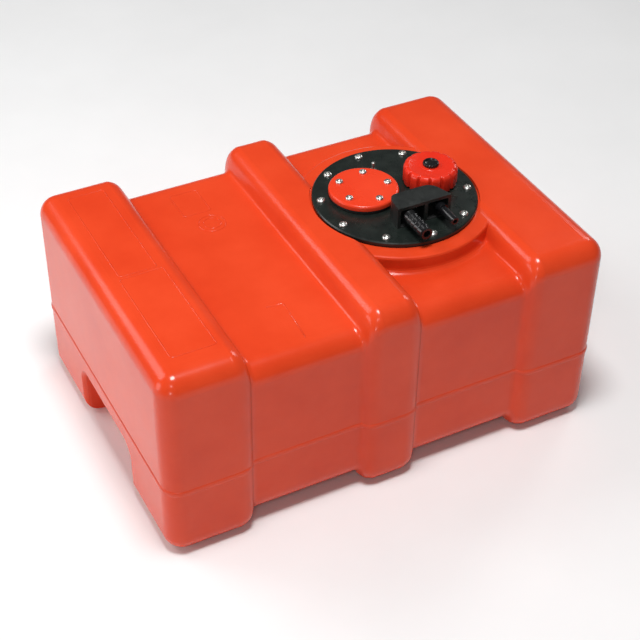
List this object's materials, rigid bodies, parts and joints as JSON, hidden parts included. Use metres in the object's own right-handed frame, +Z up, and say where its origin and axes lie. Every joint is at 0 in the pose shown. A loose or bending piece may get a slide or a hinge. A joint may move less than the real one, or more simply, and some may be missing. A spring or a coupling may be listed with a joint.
{
  "type": "outboard fuel tank",
  "caption": "Portable moulded fuel tank with wrap-round ribs, a round top plate, level sender, vented filler cap and two hose spigots.",
  "frame": {"origin": "centre of the footprint, on the floor under the ribs", "axes": "+X along the tank's long side, towards the filler; -Y the front, where the spigots point; +Z up"},
  "size_m": [0.5, 0.35, 0.256],
  "materials": {
    "red_shell": "satin moulded polyethylene",
    "red_cap": "satin moulded",
    "red_cover": "satin moulded",
    "black_plate": "satin filled nylon",
    "black_block": "satin filled nylon",
    "black_pipe": "moulded acetal",
    "rubber": "nitrile",
    "steel": "stainless",
    "brass": "turned",
    "white_plastic": "acetal",
    "foam": "closed-cell nitrile foam",
    "mesh": "fine wire mesh"
  },
  "bodies": {
    "tank": {"tank_shell": "red_shell", "threaded_inserts": "brass", "plate_gasket": "rubber", "mounting_plate": "black_plate", "plate_screws": "steel", "sender_gasket": "rubber", "sender_cover": "red_cover", "sender_screws": "steel", "sender_stem": "white_plastic", "sender_housing": "white_plastic", "sender_pivot_pin": "steel", "sender_terminal": "steel", "terminal_nut": "steel", "neck_gasket": "rubber", "filler_neck": "black_pipe", "neck_nut": "black_pipe", "outlet_manifold": "black_block", "manifold_gasket": "rubber", "manifold_screws": "steel", "fuel_spigot": "black_pipe", "vent_spigot": "black_pipe", "spigot_o_rings": "rubber", "pickup_tube": "black_pipe", "pickup_strainer": "mesh"},
    "float_swinger": {"float_arm": "steel", "float": "foam", "float_retainer": "brass"},
    "cap_seal_ring": {"cap_seal": "rubber"},
    "cap_slip_disc": {"cap_liner": "white_plastic"},
    "cap": {"filler_cap": "red_cap"},
    "vent_ring": {"vent_o_ring": "rubber"},
    "vent": {"vent_knob": "black_pipe"}
  },
  "joints": [
    {"name": "float_swing", "type": "hinge", "parent": "tank", "child": "float_swinger", "pos_m": [0.0625, 0.0136, 0.118], "axis": [0, 1, 0], "range_deg": [0, 100]},
    {"name": "cap_lift_off", "type": "slide", "parent": "tank", "child": "cap_seal_ring", "axis": [0, 0, 1], "range_m": [0, 0.06]},
    {"name": "cap_rise", "type": "slide", "parent": "cap_seal_ring", "child": "cap_slip_disc", "axis": [0, 0, 1], "range_m": [0, 0.012]},
    {"name": "cap_turn", "type": "hinge", "parent": "cap_slip_disc", "child": "cap", "pos_m": [0.1392, 0.0052, 0.245], "axis": [0, 0, 1], "range_deg": [0, 1080]},
    {"name": "vent_rise", "type": "slide", "parent": "cap", "child": "vent_ring", "axis": [0, 0, 1], "range_m": [0, 0.003]},
    {"name": "vent_turn", "type": "hinge", "parent": "vent_ring", "child": "vent", "pos_m": [0.1392, 0.0052, 0.2525], "axis": [0, 0, 1], "range_deg": [0, 720]}
  ],
  "couplings": [
    {"joint": "cap_turn", "follows": "cap_rise", "rad_per_m": 1570.8},
    {"joint": "vent_turn", "follows": "vent_rise", "rad_per_m": 4188.8}
  ]
}
